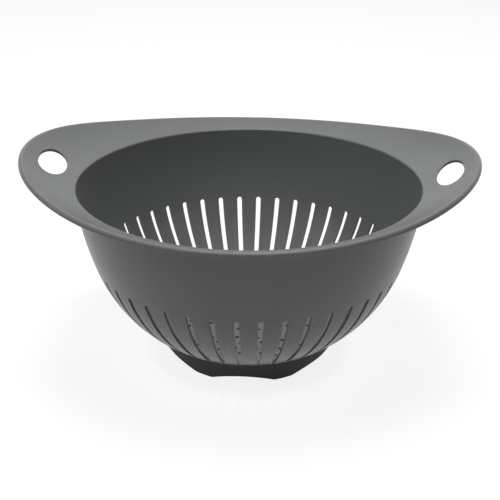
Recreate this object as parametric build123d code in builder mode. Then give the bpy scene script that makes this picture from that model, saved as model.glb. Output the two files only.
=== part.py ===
from build123d import *
from math import cos, degrees, radians, sin, sqrt, tan
import os

# A colander: one moulded bowl with its rim, handles, slots and drain holes,
# and a separate non-slip foot ring under it. Millimetres, +Z up, the handles
# along X, the origin on the floor under the middle of the bowl.

# Bowl wall: its line from the opening down, in arcs with their turns in degrees
wall = 2.0
opening_radius = 129.8
wall_lean = 6.0
upper_wall_radius = 260.0
upper_wall_turn = 13.2
lower_wall_radius = 118.0
lower_wall_turn = 35.3
knuckle_radius = 63.0
base_height = 12.5

# Rim flange: one rising bend, its slope at the opening steeper towards the handles
flange_handle_angle = 21.4
flange_side_angle = 15.2
flange_bend_radius = 115.0
flange_root_radius = 0.6
opening_edge_radius = 1.2

# Outline of the rim seen from above, and its down-turned lip
handle_reach = 41.1
side_reach = 19.0
rim_tip_turn = 41.8
rim_tip_steps = 6
rim_side_steps = 9
lip_depth = 4.1
lip_edge_share = 0.52
lip_lower_edge_share = 0.35
cut_overrun = 10.0

# Hand holes
hand_hole_inset = 20.9
hand_hole_half_width = 9.4
hand_hole_half_length = 22.0
hand_hole_edge_radius = 0.5

# Drain slots in the wall
slot_count = 44
slot_top_depth = 57.9
slot_seam_rise = 0.3
slot_top_width = 4.0
slot_bottom_width = 3.6

# Drain holes in the base
drain_hole_radius = 1.6
drain_ring_count = 6
drain_holes_per_ring = 6
drain_field_margin = 6.0

# Foot ring, and the rib of the bowl that stands in it
foot_edge_reach = 0.7
foot_edge_rise = 0.9
foot_taper = 14.8
foot_wall = 3.0
foot_channel = 6.8
foot_collar_wall = 2.4
foot_fit_gap = 0.15
foot_edge_radius = 0.8
web_clearance = 0.6
web_thickness = 2.4
rib_gap = 0.6
rib_thickness = 3.0
arch_count = 6
arch_rise = 7.5
arch_half_angle = 23.4
arch_end_radius = 6.0

# Angles of the wall's line from the level, where its arcs meet, and the bowl's depth
opening_angle = 90 - wall_lean
shoulder_angle = opening_angle - upper_wall_turn
seam_angle = shoulder_angle - lower_wall_turn
bowl_depth = (
    upper_wall_radius * (cos(radians(shoulder_angle)) - cos(radians(opening_angle)))
    + lower_wall_radius * (cos(radians(seam_angle)) - cos(radians(shoulder_angle)))
    + knuckle_radius * (1 - cos(radians(seam_angle)))
)

# Inner line of the bowl: two tangent arcs, then a knuckle that ends level in the base
opening_height = base_height + bowl_depth
opening_point = Vector(opening_radius, opening_height)
wall_direction = Vector(-cos(radians(opening_angle)), -sin(radians(opening_angle)))
upper_wall = JernArc(opening_point, wall_direction, upper_wall_radius, -upper_wall_turn)
lower_wall = JernArc(upper_wall @ 1, upper_wall % 1, lower_wall_radius, -lower_wall_turn)
knuckle = JernArc(lower_wall @ 1, lower_wall % 1, knuckle_radius, -seam_angle)
seam_point = lower_wall @ 1
outer_seam_point = seam_point + (lower_wall % 1).rotate(Axis.Z, 90) * wall
base_radius = (knuckle @ 1).X

# The upper arc of the wall, begun above the opening, for the cut that opens the bowl
mouth_turn = degrees(cut_overrun / upper_wall_radius)
mouth = JernArc(opening_point, -wall_direction, upper_wall_radius, mouth_turn)
mouth_wall = JernArc(mouth @ 1, -(mouth % 1), upper_wall_radius, -(mouth_turn + upper_wall_turn))

# Rim outline seen from above: two tip arcs and two side arcs, tangent to each other
rim_half_length = opening_radius + handle_reach
rim_half_width = opening_radius + side_reach
tip_share = (1 - sin(radians(rim_tip_turn))) / cos(radians(rim_tip_turn))
rim_tip_radius = (rim_half_width - tip_share * rim_half_length) / (1 - tip_share)
tip_centre = rim_half_length - rim_tip_radius
side_centre = -tip_centre * tan(radians(rim_tip_turn))
side_radius = rim_half_width - side_centre
right_tip = CenterArc((tip_centre, 0), rim_tip_radius, -rim_tip_turn, 2 * rim_tip_turn)
back_side = CenterArc((0, side_centre), side_radius, rim_tip_turn, 180 - 2 * rim_tip_turn)
left_tip = CenterArc((-tip_centre, 0), rim_tip_radius, 180 - rim_tip_turn, 2 * rim_tip_turn)

# Points of the outline that the rim's sections reach, from past one handle to past the other
rim_points = [right_tip @ (step / rim_tip_steps) for step in range(rim_tip_steps)]
rim_points += [back_side @ (step / rim_side_steps) for step in range(rim_side_steps)]
rim_points += [left_tip @ (step / rim_tip_steps) for step in range(rim_tip_steps + 1)]

# Lip of the rim: its rounded edges, and the hand holes' place
lip_edge_radius = lip_edge_share * lip_depth
lip_lower_edge_radius = lip_lower_edge_share * wall
hand_hole_reach = rim_half_length - hand_hole_inset
rim_height = 2 * opening_height

# Ends of the drain slots
slot_top = opening_height - slot_top_depth
slot_bottom = seam_point.Y + slot_seam_rise

# Foot ring: a cone from just outside the seam down to the floor, a web and a collar
foot_top_radius = outer_seam_point.X + foot_edge_reach
foot_top = outer_seam_point.Y + foot_edge_rise
foot_bottom_radius = foot_top_radius - foot_taper
foot_collar_radius = foot_bottom_radius - foot_channel
web_height = arch_rise + web_clearance
web_top = web_height + web_thickness
web_width = foot_bottom_radius + foot_taper * web_height / foot_top - foot_wall / 2 - foot_collar_radius

# Rib between the collar and the cone, its root halfway into the bowl's knuckle
rib_middle = foot_collar_radius + foot_collar_wall + rib_gap + rib_thickness / 2
rib_rise = sqrt((knuckle_radius + wall / 2) ** 2 - (rib_middle - base_radius) ** 2)
rib_root = base_height + knuckle_radius - rib_rise

# Drain holes in the base stand in rings inside the collar
drain_ring_pitch = (foot_collar_radius - drain_field_margin) / drain_ring_count

# Arch in the foot ring's lower edge, its ends rounded into the floor
arch_half_width = foot_bottom_radius * sin(radians(arch_half_angle))
with BuildLine() as arch_line:
    Line((-foot_top_radius, 0), (-arch_half_width, 0))
    ThreePointArc((-arch_half_width, 0), (0, arch_rise), (arch_half_width, 0))
    Line((arch_half_width, 0), (foot_top_radius, 0))
    fillet(arch_line.vertices().sort_by_distance((0, arch_rise))[:2], arch_end_radius)
arch_edges = arch_line.edges().filter_by(GeomType.CIRCLE)
arch_reach = arch_edges.vertices().sort_by(Axis.X)[-1].X


def draw_inside(outward, top_arc=upper_wall):
    """Half a section of what lies inside the wall's line, with the line moved outwards."""
    points = []
    for arc in (top_arc, lower_wall, knuckle):
        start_direction = arc % 0
        end_direction = arc % 1
        start = arc @ 0 + start_direction.rotate(Axis.Z, 90) * outward
        end = arc @ 1 + end_direction.rotate(Axis.Z, 90) * outward
        turn = radians(start_direction.get_angle(end_direction))
        reach = (end - start).length / (3 * cos(turn / 4) ** 2)
        Bezier(start, start + start_direction * reach, end - end_direction * reach, end)
        points += [start, end]
    Polyline(points[0], (0, points[0].Y), (0, points[-1].Y), points[-1])


def bend_point(middle, radius, reach):
    """The low point of a bend that lies a reach outwards from its middle."""
    return middle + Vector(reach, -sqrt(radius**2 - reach**2))


def draw_rim_section(rim_point):
    """The rim's section towards a point of its outline: the flange, its rounded edge and its lip."""
    steepness = rim_point.normalized().X ** 2
    root_angle = flange_side_angle + (flange_handle_angle - flange_side_angle) * steepness
    middle = opening_point + Vector(0, flange_bend_radius).rotate(Axis.Z, root_angle)
    under_radius = flange_bend_radius + wall
    lip_radius = flange_bend_radius + lip_depth
    start_reach = opening_radius - cut_overrun - middle.X
    outer_reach = rim_point.length - middle.X
    inner_reach = outer_reach - wall
    top_start = bend_point(middle, flange_bend_radius, start_reach)
    top_end = bend_point(middle, flange_bend_radius, outer_reach)
    lip_outer = bend_point(middle, lip_radius, outer_reach)
    lip_inner = bend_point(middle, lip_radius, inner_reach)
    under_end = bend_point(middle, under_radius, inner_reach)
    under_start = bend_point(middle, under_radius, start_reach)
    with BuildLine() as outline:
        RadiusArc(top_start, top_end, -flange_bend_radius)
        Polyline(top_end, lip_outer, lip_inner, under_end)
        RadiusArc(under_end, under_start, under_radius)
        Line(under_start, top_start)
        fillet(outline.vertices().sort_by_distance(top_end)[0], lip_edge_radius)
        fillet(outline.vertices().sort_by_distance(lip_outer)[0], lip_lower_edge_radius)
        fillet(outline.vertices().sort_by_distance(lip_inner)[0], lip_lower_edge_radius)
    make_face(outline.edges())


# Rim: flange and lip in one band, its back half mirrored to the front
with BuildPart() as rim:
    for rim_point in rim_points:
        outward = rim_point.normalized()
        with BuildSketch(Plane((0, 0, 0), x_dir=outward, z_dir=outward.rotate(Axis.Z, -90))):
            draw_rim_section(rim_point)
    loft()
    split(bisect_by=Plane.XZ, keep=Keep.BOTTOM)
    mirror(about=Plane.XZ)

# Slot cutter: one long tapered slot, cut outwards through the wall along X
with BuildPart() as slot_cutter:
    with BuildSketch(Plane.YZ.offset(seam_point.X - cut_overrun)):
        with Locations((0, slot_top - slot_top_width / 2)):
            Circle(slot_top_width / 2)
        with Locations((0, slot_bottom + slot_bottom_width / 2)):
            Circle(slot_bottom_width / 2)
        make_hull()
    extrude(amount=opening_radius - seam_point.X + cut_overrun)

# Bowl: wall, base and rim in one moulding, then its openings and its rib
with BuildPart() as bowl:
    with BuildSketch(Plane.XZ):
        with BuildLine():
            draw_inside(wall)
        make_face()
    revolve(axis=Axis.Z)
    add(rim.part)
    with BuildSketch(Plane.XZ):
        with BuildLine():
            draw_inside(0, mouth_wall)
        make_face()
    revolve(axis=Axis.Z, mode=Mode.SUBTRACT)
    edges_under_rim = bowl.edges().filter_by_position(
        Axis.Z, opening_height - wall, opening_height - wall / 2
    )
    fillet(edges_under_rim, flange_root_radius)
    opening_edges = bowl.edges().filter_by_position(
        Axis.Z, opening_height - wall / 4, opening_height + wall / 4
    )
    fillet(opening_edges, opening_edge_radius)
    with BuildSketch():
        with Locations((hand_hole_reach, 0), (-hand_hole_reach, 0)):
            Ellipse(hand_hole_half_width, hand_hole_half_length)
    extrude(amount=rim_height, mode=Mode.SUBTRACT)
    hole_walls = bowl.faces().filter_by(GeomType.EXTRUSION)
    fillet(hole_walls.edges().filter_by(GeomType.LINE, reverse=True), hand_hole_edge_radius)
    with BuildSketch(Plane.XZ):
        with Locations((rib_middle, web_top)):
            Rectangle(rib_thickness, rib_root - web_top, align=(Align.CENTER, Align.MIN))
    revolve(axis=Axis.Z)
    with PolarLocations(0, slot_count):
        add(slot_cutter.part, mode=Mode.SUBTRACT)
    with BuildSketch():
        Circle(drain_hole_radius)
        for ring in range(1, drain_ring_count + 1):
            with PolarLocations(ring * drain_ring_pitch, ring * drain_holes_per_ring):
                Circle(drain_hole_radius)
    extrude(amount=seam_point.Y, mode=Mode.SUBTRACT)

# Space that the bowl and its fit gap take up, cut from the foot ring
with BuildPart() as bowl_space:
    with BuildSketch(Plane.XZ):
        with BuildLine():
            draw_inside(wall + foot_fit_gap)
        make_face()
    revolve(axis=Axis.Z)

# Arch cutter: one shallow arch, cut outwards along X
with BuildPart() as arch_cutter:
    with BuildSketch(Plane.YZ):
        with BuildLine():
            add(arch_edges)
            Polyline(
                (-arch_reach, 0),
                (-arch_reach, -cut_overrun),
                (arch_reach, -cut_overrun),
                (arch_reach, 0),
            )
        make_face()
    extrude(amount=foot_top_radius)

# Foot ring: a conical wall, a web that carries the rib, and an inner collar
with BuildPart() as foot_ring:
    with BuildSketch(Plane.XZ) as foot_section:
        with BuildLine():
            Polyline(
                (foot_bottom_radius, 0),
                (foot_top_radius, foot_top),
                (foot_top_radius - foot_wall, foot_top + foot_wall),
                (foot_bottom_radius - foot_wall, 0),
                close=True,
            )
        make_face()
        with Locations((foot_collar_radius, web_height)):
            Rectangle(foot_collar_wall, foot_top - web_height, align=Align.MIN)
        with Locations((foot_collar_radius, web_height)):
            Rectangle(web_width, web_thickness, align=Align.MIN)
        fillet(foot_section.vertices().group_by(Axis.Y)[0], foot_edge_radius)
    revolve(axis=Axis.Z)
    add(bowl_space.part, mode=Mode.SUBTRACT)
    with PolarLocations(0, arch_count, start_angle=90):
        add(arch_cutter.part, mode=Mode.SUBTRACT)

bowl.part.label = "bowl"
foot_ring.part.label = "foot_ring"

os.makedirs("parts", exist_ok=True)
export_step(bowl.part, "parts/bowl.step")
export_step(foot_ring.part, "parts/foot_ring.step")
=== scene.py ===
from math import radians

import bmesh
import bpy
from bpy.props import FloatProperty, FloatVectorProperty, PointerProperty
from bpy.types import Operator, Panel, PropertyGroup
from mathutils import Matrix, Vector


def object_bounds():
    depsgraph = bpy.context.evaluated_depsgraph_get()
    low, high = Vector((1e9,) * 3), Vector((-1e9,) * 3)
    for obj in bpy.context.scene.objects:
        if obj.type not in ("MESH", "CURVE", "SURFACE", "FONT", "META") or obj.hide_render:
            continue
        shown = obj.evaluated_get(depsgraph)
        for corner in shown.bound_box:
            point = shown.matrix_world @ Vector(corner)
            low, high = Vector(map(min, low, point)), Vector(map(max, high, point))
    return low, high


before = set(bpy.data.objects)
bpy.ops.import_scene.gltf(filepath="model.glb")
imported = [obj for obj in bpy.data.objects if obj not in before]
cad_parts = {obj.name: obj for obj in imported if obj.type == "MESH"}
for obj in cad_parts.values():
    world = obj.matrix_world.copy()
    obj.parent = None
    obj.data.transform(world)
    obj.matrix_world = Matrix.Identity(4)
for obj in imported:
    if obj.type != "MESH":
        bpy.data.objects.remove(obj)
cad_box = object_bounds()

# Gloss of the two finishes, the same all over each surface
plastic_ior = 1.27
skin_ior = 1.5
skin_roughness = 0.2
rubber_ior = 1.5
rubber_shine = 0.28

# Drag marks on the bowl: where they fade in down the wall, in metres, and how fine they are
marks_begin = 0.095
marks_full = 0.045
marks_round = 90.0
marks_down = 12.0

# Bowl's patterns: features a metre, and their shares of the colour, the gloss and the relief
cloud_scale = 22.0
cloud_tint = 0.05
grain_tint = 0.04
marks_tint = 0.3
cloud_gloss = 0.06
marks_gloss = 0.12
cloud_polish = 0.1
marks_relief = 1.5
plastic_relief = 0.12
plastic_depth = 0.00004

# Foot's patterns, in the same terms
bloom_scale = 45.0
bloom_tint = 0.12
pebble_tint = 0.08
bloom_gloss = 0.1
rubber_relief = 0.2
rubber_depth = 0.00006

# Camera's sensor, and how near it sees, in its own units
sensor_width = 36.0
nearest_seen = 0.01

bl_info = {
    "name": "Colander",
    "version": (1, 0, 0),
    "blender": (4, 5, 0),
    "location": "3D View > Sidebar > Colander",
    "description": "Finishes, floor, lights and camera for a moulded colander",
    "category": "Object",
}


class BowlFinish(PropertyGroup):
    """Satin moulded plastic of the bowl and its rim."""

    colour: FloatVectorProperty(
        name="Colour",
        description="Base colour of the moulded plastic",
        subtype="COLOR",
        size=3,
        min=0,
        max=1,
        default=(0.139, 0.144, 0.146),
    )
    roughness: FloatProperty(
        name="Roughness",
        description="How soft the reflections are",
        subtype="FACTOR",
        min=0,
        max=1,
        default=0.5,
    )
    polish: FloatProperty(
        name="Polish",
        description="How much of the surface shows the smooth skin left by the mould",
        subtype="FACTOR",
        min=0,
        max=1,
        default=0.34,
    )
    grain: FloatProperty(
        name="Grain",
        description="Width of one grain of the mould's fine texture",
        subtype="DISTANCE",
        unit="LENGTH",
        default=0.0006,
    )


class FootFinish(PropertyGroup):
    """Matt rubber of the foot ring."""

    colour: FloatVectorProperty(
        name="Colour",
        description="Base colour of the rubber",
        subtype="COLOR",
        size=3,
        min=0,
        max=1,
        default=(0.058, 0.058, 0.058),
    )
    roughness: FloatProperty(
        name="Roughness",
        description="How soft the reflections are",
        subtype="FACTOR",
        min=0,
        max=1,
        default=0.88,
    )
    grain: FloatProperty(
        name="Grain",
        description="Width of one grain of the rubber's surface",
        subtype="DISTANCE",
        unit="LENGTH",
        default=0.0009,
    )


class StageSetup(PropertyGroup):
    """Floor, lights and camera."""

    floor_size: FloatProperty(
        name="Floor size",
        description="Length of each side of the floor",
        subtype="DISTANCE",
        unit="LENGTH",
        default=12.0,
    )
    floor_colour: FloatVectorProperty(
        name="Floor colour",
        description="Colour of the floor where light falls on it",
        subtype="COLOR",
        size=3,
        min=0,
        max=1,
        default=(0.92, 0.92, 0.92),
    )
    shadow_colour: FloatVectorProperty(
        name="Shadow colour",
        description="Share of the light on the floor that the camera sees, so how deep the shadow looks",
        subtype="COLOR",
        size=3,
        min=0,
        max=1,
        default=(0.25, 0.25, 0.25),
    )
    floor_glow: FloatProperty(
        name="Floor glow",
        description="Plain white that the camera sees on top of the light on the floor",
        min=0,
        max=1,
        default=0.86,
    )
    camera_distance: FloatProperty(
        name="Camera distance",
        description="Level distance from the middle of the bowl to the camera",
        subtype="DISTANCE",
        unit="LENGTH",
        default=0.7325,
    )
    camera_height: FloatProperty(
        name="Camera height",
        description="Height of the camera above the floor",
        subtype="DISTANCE",
        unit="LENGTH",
        default=0.4077,
    )
    camera_turn: FloatProperty(
        name="Camera turn",
        description="How far round the bowl the camera stands",
        subtype="ANGLE",
        unit="ROTATION",
        default=radians(4.05),
    )
    camera_pan: FloatProperty(
        name="Camera pan",
        description="How far the camera looks to the right of the bowl's middle",
        subtype="ANGLE",
        unit="ROTATION",
        default=radians(0.07),
    )
    camera_pitch: FloatProperty(
        name="Camera pitch",
        description="How far the camera looks down",
        subtype="ANGLE",
        unit="ROTATION",
        default=radians(23.95),
    )
    camera_roll: FloatProperty(
        name="Camera roll",
        description="How far the camera leans about its own axis",
        subtype="ANGLE",
        unit="ROTATION",
        default=radians(0.27),
    )
    lens: FloatProperty(
        name="Lens",
        description="Focal length in millimetres on a sensor 36 mm wide",
        unit="CAMERA",
        default=74.07,
    )
    ceiling_power: FloatProperty(
        name="Ceiling light",
        description="Power of the wide soft light above",
        unit="POWER",
        default=8.0,
    )
    overhead_power: FloatProperty(
        name="Overhead light",
        description="Power of the smaller soft light above",
        unit="POWER",
        default=14.0,
    )
    back_power: FloatProperty(
        name="Back light",
        description="Power of the soft light behind and above",
        unit="POWER",
        default=2.9,
    )
    side_power: FloatProperty(
        name="Side light",
        description="Power of the soft light at the left",
        unit="POWER",
        default=4.0,
    )


class Socket:
    """A shader value that can be used in plain sums."""

    def __init__(self, tree, link):
        self.tree = tree
        self.link = link

    def node(self, kind, output=0, settings=None, **inputs):
        return make_node(self.tree, kind, output, settings, **inputs)

    def combine(self, operation, first, second):
        settings = {"operation": operation}
        return self.node("ShaderNodeMath", settings=settings, **{"0": first, "1": second})

    def __add__(self, other):
        return self.combine("ADD", self, other)

    def __radd__(self, other):
        return self.combine("ADD", other, self)

    def __sub__(self, other):
        return self.combine("SUBTRACT", self, other)

    def __rsub__(self, other):
        return self.combine("SUBTRACT", other, self)

    def __mul__(self, other):
        return self.combine("MULTIPLY", self, other)

    def __rmul__(self, other):
        return self.combine("MULTIPLY", other, self)


def make_node(tree, kind, output=0, settings=None, **inputs):
    """Adds a node, sets it up, fills its inputs and returns one of its outputs."""
    node = tree.nodes.new(kind)
    for name, value in (settings or {}).items():
        setattr(node, name, value)
    for name, value in inputs.items():
        socket = node.inputs[int(name) if name.isdigit() else name.replace("_", " ")]
        if isinstance(value, Socket):
            tree.links.new(value.link, socket)
        else:
            socket.default_value = value
    return Socket(tree, node.outputs[output])


def start_material(name):
    """A new material with an empty node tree, and that tree."""
    material = bpy.data.materials.new(name)
    material.use_nodes = True
    material.node_tree.nodes.clear()
    return material, material.node_tree


def end_material(tree, shader):
    """Sends a shader to the material's output."""
    output = tree.nodes.new("ShaderNodeOutputMaterial")
    tree.links.new(shader.link, output.inputs["Surface"])


def noise(tree, place, scale, detail=2.0, roughness=0.5):
    """Soft noise from 0 to 1, with so many features to each unit of its place."""
    return make_node(
        tree, "ShaderNodeTexNoise", 0, {"noise_dimensions": "3D"},
        Vector=place, Scale=scale, Detail=detail, Roughness=roughness
    )


def tinted(tree, colour, share):
    """A colour made lighter or darker by a share that varies over the surface."""
    brighter = [channel * 2 for channel in colour] + [1]
    return make_node(
        tree, "ShaderNodeMix", 2, {"data_type": "RGBA"}, **{"0": share, "6": (0, 0, 0, 1), "7": brighter}
    )


def bowl_plastic(finish):
    """Satin dark plastic: cloudy colour, drag marks low on the wall, a fine grain and a smooth skin."""
    material, tree = start_material("bowl_plastic")
    place = make_node(tree, "ShaderNodeTexCoord", 3)
    cloud = noise(tree, place, cloud_scale, detail=3.0)
    grain = noise(tree, place, 1 / finish.grain, roughness=0.6)
    east = make_node(tree, "ShaderNodeSeparateXYZ", 0, Vector=place)
    north = make_node(tree, "ShaderNodeSeparateXYZ", 1, Vector=place)
    height = make_node(tree, "ShaderNodeSeparateXYZ", 2, Vector=place)
    angle = east.combine("ARCTAN2", north, east)
    drag_place = make_node(tree, "ShaderNodeCombineXYZ", 0, X=angle * marks_round, Y=height * marks_down)
    drag = noise(tree, drag_place, 1.0, detail=3.0, roughness=0.7)
    low_down = make_node(
        tree, "ShaderNodeMapRange", 0, {"interpolation_type": "SMOOTHSTEP"},
        **{"0": height, "1": marks_begin, "2": marks_full, "3": 0.0, "4": 1.0}
    )
    cloudy = cloud - 0.5
    grainy = grain - 0.5
    marked = (drag - 0.5) * low_down
    share = 0.5 + cloudy * cloud_tint + grainy * grain_tint + marked * marks_tint
    relief = make_node(
        tree, "ShaderNodeBump", 0,
        Strength=plastic_relief,
        Distance=plastic_depth,
        Height=grain + drag * low_down * marks_relief,
    )
    shader = make_node(
        tree, "ShaderNodeBsdfPrincipled", 0,
        Base_Color=tinted(tree, finish.colour, share),
        Roughness=finish.roughness + cloudy * cloud_gloss + marked * marks_gloss,
        IOR=plastic_ior,
        Coat_Weight=finish.polish + cloudy * cloud_polish,
        Coat_Roughness=skin_roughness,
        Coat_IOR=skin_ior,
        Normal=relief,
    )
    end_material(tree, shader)
    return material


def foot_rubber(finish):
    """Matt black rubber with a fine pebbled grain and a little bloom."""
    material, tree = start_material("foot_rubber")
    place = make_node(tree, "ShaderNodeTexCoord", 3)
    bloom = noise(tree, place, bloom_scale, detail=4.0, roughness=0.6)
    pebbles = noise(tree, place, 1 / finish.grain, detail=3.0, roughness=0.6)
    bloomed = bloom - 0.5
    pebbled = pebbles - 0.5
    share = 0.5 + bloomed * bloom_tint + pebbled * pebble_tint
    relief = make_node(
        tree, "ShaderNodeBump", 0, Strength=rubber_relief, Distance=rubber_depth, Height=pebbles
    )
    shader = make_node(
        tree, "ShaderNodeBsdfPrincipled", 0,
        Base_Color=tinted(tree, finish.colour, share),
        Roughness=finish.roughness + bloomed * bloom_gloss,
        IOR=rubber_ior,
        Specular_IOR_Level=rubber_shine,
        Normal=relief,
    )
    end_material(tree, shader)
    return material


def floor_paint(stage):
    """Pale floor that takes the shadow and looks white to the camera and in reflections."""
    material, tree = start_material("floor_paint")
    seen = seen_rays(tree)
    colour = make_node(
        tree, "ShaderNodeMix", 2, {"data_type": "RGBA"},
        **{"0": seen, "6": (*stage.floor_colour, 1), "7": (*stage.shadow_colour, 1)}
    )
    diffuse = make_node(tree, "ShaderNodeBsdfDiffuse", 0, Color=colour)
    glow = make_node(tree, "ShaderNodeEmission", 0, Color=(1, 1, 1, 1), Strength=seen * stage.floor_glow)
    end_material(tree, make_node(tree, "ShaderNodeAddShader", 0, **{"0": diffuse, "1": glow}))
    return material


def seen_rays(tree):
    """1 for rays from the camera and for those it sees by reflection or through glass."""
    camera = make_node(tree, "ShaderNodeLightPath", "Is Camera Ray")
    glossy = make_node(tree, "ShaderNodeLightPath", "Is Glossy Ray")
    through = make_node(tree, "ShaderNodeLightPath", "Is Transmission Ray")
    either = camera.combine("MAXIMUM", camera, glossy)
    return either.combine("MAXIMUM", either, through)


def light_room():
    """White wherever the camera or a reflection sees past the floor, and dark to everything else."""
    world = bpy.data.worlds.new("room")
    world.use_nodes = True
    tree = world.node_tree
    tree.nodes.clear()
    background = make_node(tree, "ShaderNodeBackground", 0, Color=(1, 1, 1, 1), Strength=seen_rays(tree))
    output = tree.nodes.new("ShaderNodeOutputWorld")
    tree.links.new(background.link, output.inputs["Surface"])
    bpy.context.scene.world = world


def soft_light(name, place, target, width, power):
    """A square soft light that faces a point."""
    lamp = bpy.data.lights.new(name, "AREA")
    lamp.size = width
    lamp.energy = power
    light = bpy.data.objects.new(name, lamp)
    light.location = place
    light.rotation_euler = (Vector(target) - Vector(place)).to_track_quat("-Z", "Y").to_euler()
    bpy.context.scene.collection.objects.link(light)


def lay_floor(stage):
    """A square floor just under the foot ring."""
    mesh = bpy.data.meshes.new("floor")
    shape = bmesh.new()
    bmesh.ops.create_grid(shape, x_segments=1, y_segments=1, size=stage.floor_size / 2)
    shape.to_mesh(mesh)
    shape.free()
    floor = bpy.data.objects.new("floor", mesh)
    bpy.context.scene.collection.objects.link(floor)
    floor.data.materials.append(floor_paint(stage))


def place_camera(stage):
    """The camera, aimed as the photograph was taken."""
    camera = bpy.data.objects.new("camera", bpy.data.cameras.new("camera"))
    camera.data.lens = stage.lens
    camera.data.sensor_width = sensor_width
    camera.data.clip_start = nearest_seen
    heading = Matrix.Rotation(stage.camera_turn, 3, "Z")
    place = heading @ Vector((0, -stage.camera_distance, 0))
    place.z = stage.camera_height
    aim = Matrix.Rotation(-stage.camera_pan, 3, "Z") @ heading
    tilt = Matrix.Rotation(radians(90) - stage.camera_pitch, 3, "X")
    lean = Matrix.Rotation(stage.camera_roll, 3, "Z")
    camera.matrix_world = Matrix.Translation(place) @ (aim @ tilt @ lean).to_4x4()
    bpy.context.scene.collection.objects.link(camera)
    bpy.context.scene.camera = camera


def dress(name, material):
    """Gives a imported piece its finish."""
    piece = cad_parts[name]
    piece.data.materials.clear()
    piece.data.materials.append(material)


class COLANDER_OT_bowl(Operator):
    """Give the bowl its satin plastic"""

    bl_idname = "colander.bowl"
    bl_label = "Bowl"

    def execute(self, context):
        dress("bowl", bowl_plastic(context.scene.colander_bowl))
        return {"FINISHED"}


class COLANDER_OT_foot_ring(Operator):
    """Give the foot ring its matt rubber"""

    bl_idname = "colander.foot_ring"
    bl_label = "Foot ring"

    def execute(self, context):
        dress("foot_ring", foot_rubber(context.scene.colander_foot))
        return {"FINISHED"}


class COLANDER_OT_stage(Operator):
    """Lay the floor, hang the lights and place the camera"""

    bl_idname = "colander.stage"
    bl_label = "Stage"

    def execute(self, context):
        stage = context.scene.colander_stage
        context.scene.view_settings.view_transform = "Standard"
        lay_floor(stage)
        light_room()
        middle = sum(cad_box, Vector()) / 2
        lamps = (
            ("ceiling", (0, 0, 1.6), 3.0, stage.ceiling_power),
            ("overhead", (0, 0, 1.5), 0.8, stage.overhead_power),
            ("back", (0, 1.2, 1.2), 1.2, stage.back_power),
            ("left", (-1.5, -0.3, 0.8), 1.0, stage.side_power),
        )
        for name, place, width, power in lamps:
            soft_light(name, place, middle, width, power)
        place_camera(stage)
        return {"FINISHED"}


class COLANDER_PT_panel(Panel):
    """Lists the colander's pieces and its stage"""

    bl_idname = "COLANDER_PT_panel"
    bl_label = "Colander"
    bl_space_type = "VIEW_3D"
    bl_region_type = "UI"
    bl_category = "Colander"

    def draw(self, context):
        layout = self.layout
        for operator in OPERATORS:
            layout.operator(operator.bl_idname)


GROUPS = (
    ("colander_bowl", BowlFinish),
    ("colander_foot", FootFinish),
    ("colander_stage", StageSetup),
)
OPERATORS = (COLANDER_OT_stage, COLANDER_OT_bowl, COLANDER_OT_foot_ring)


def register():
    for name, group in GROUPS:
        bpy.utils.register_class(group)
        setattr(bpy.types.Scene, name, PointerProperty(type=group))
    for operator in OPERATORS:
        bpy.utils.register_class(operator)
    bpy.utils.register_class(COLANDER_PT_panel)


def unregister():
    bpy.utils.unregister_class(COLANDER_PT_panel)
    for operator in reversed(OPERATORS):
        bpy.utils.unregister_class(operator)
    for name, group in reversed(GROUPS):
        delattr(bpy.types.Scene, name)
        bpy.utils.unregister_class(group)


def main():
    register()
    bpy.ops.colander.stage()
    bpy.ops.colander.bowl()
    bpy.ops.colander.foot_ring()


if __name__ == "__main__":
    main()
